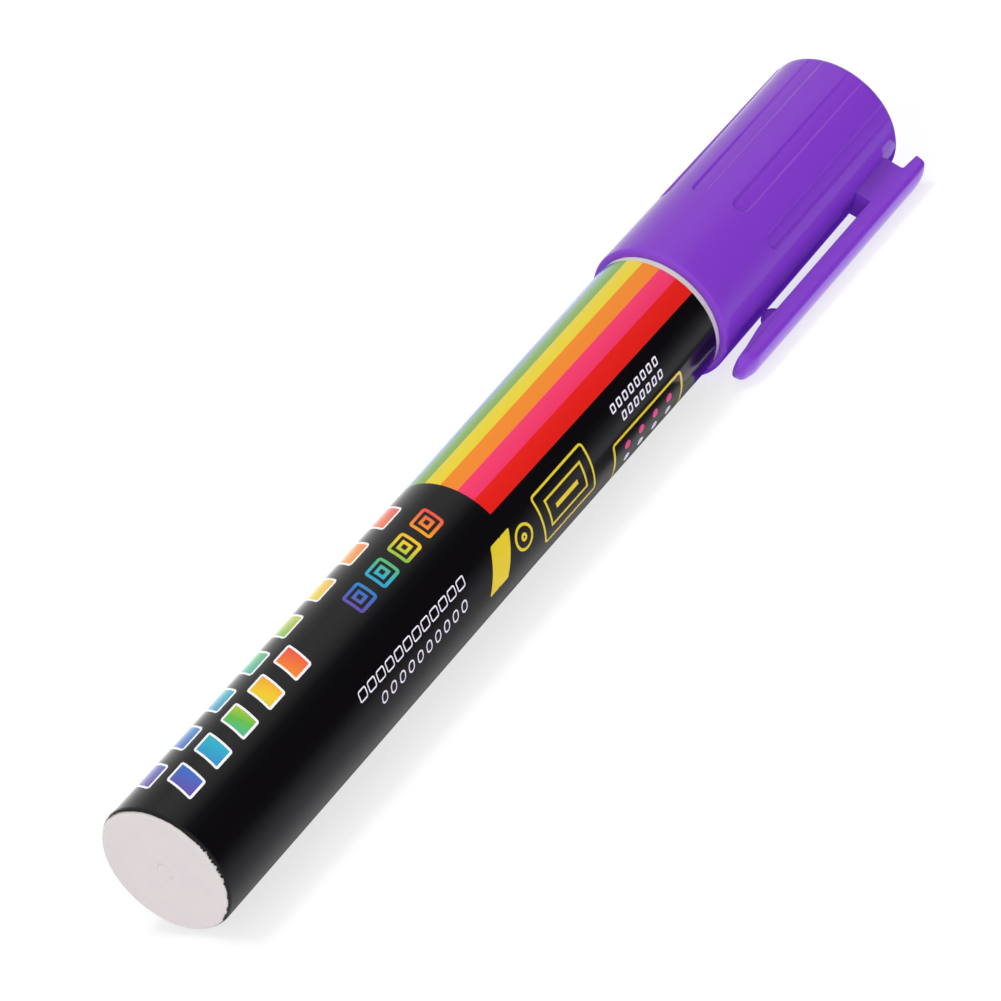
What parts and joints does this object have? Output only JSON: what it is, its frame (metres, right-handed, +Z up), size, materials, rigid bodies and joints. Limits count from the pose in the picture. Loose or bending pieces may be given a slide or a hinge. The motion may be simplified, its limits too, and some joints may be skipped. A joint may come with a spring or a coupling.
{
  "type": "capped marking pen",
  "caption": "Fat round valve-action marking pen with a push-on cap, a moulded pocket clip and a sprung bullet nib, lying on its side.",
  "frame": {"origin": "on the surface the pen lies on, under the middle of its outline", "axes": "+X along the pen from its closed rear end to its cap, +Z up; the clip points to -Y and down"},
  "size_m": [0.138, 0.0198, 0.0177],
  "materials": {
    "white_plastic": "satin moulded",
    "printed_film": "glossy printed film, black with colour stripes",
    "nib_fibre": "pressed fibre",
    "natural_plastic": "natural moulded",
    "spring_steel": "drawn wire",
    "ball_steel": "polished",
    "purple_plastic": "glossy moulded"
  },
  "bodies": {
    "pen_body": {"barrel": "white_plastic", "printed_sleeve": "printed_film", "nozzle": "white_plastic", "valve_seat": "natural_plastic", "spring_cage": "natural_plastic", "valve_spring": "spring_steel"},
    "nib_body": {"nib": "nib_fibre"},
    "stem_body": {"valve_stem": "natural_plastic"},
    "ball_body": {"mixing_ball": "ball_steel"},
    "cap_body": {"cap_shell": "purple_plastic", "inner_cap": "natural_plastic"},
    "clip_body": {"clip_blade": "purple_plastic"}
  },
  "joints": [
    {"name": "cap_pull", "type": "slide", "parent": "pen_body", "child": "cap_body", "axis": [1, 0, 0], "range_m": [0, 0.045]},
    {"name": "clip_flex", "type": "hinge", "parent": "cap_body", "child": "clip_body", "pos_m": [0.05876, -0.00911, 0.00122], "axis": [0, -0.5998, 0.8002], "range_deg": [0, 4], "stiffness_Nm_per_rad": 0.45},
    {"name": "nib_press", "type": "slide", "parent": "pen_body", "child": "nib_body", "axis": [-1, 0, 0], "range_m": [0, 0.002]},
    {"name": "valve_open", "type": "slide", "parent": "pen_body", "child": "stem_body", "axis": [-1, 0, 0], "range_m": [0, 0.002], "stiffness_N_per_m": 600, "springref_m": -0.0015, "deforming": ["valve_spring"]},
    {"name": "ball_travel", "type": "slide", "parent": "pen_body", "child": "ball_body", "axis": [1, 0, 0], "range_m": [-0.0075, 0.069]}
  ],
  "couplings": [
    {"joint": "valve_open", "follows": "nib_press", "ratio": 1}
  ]
}
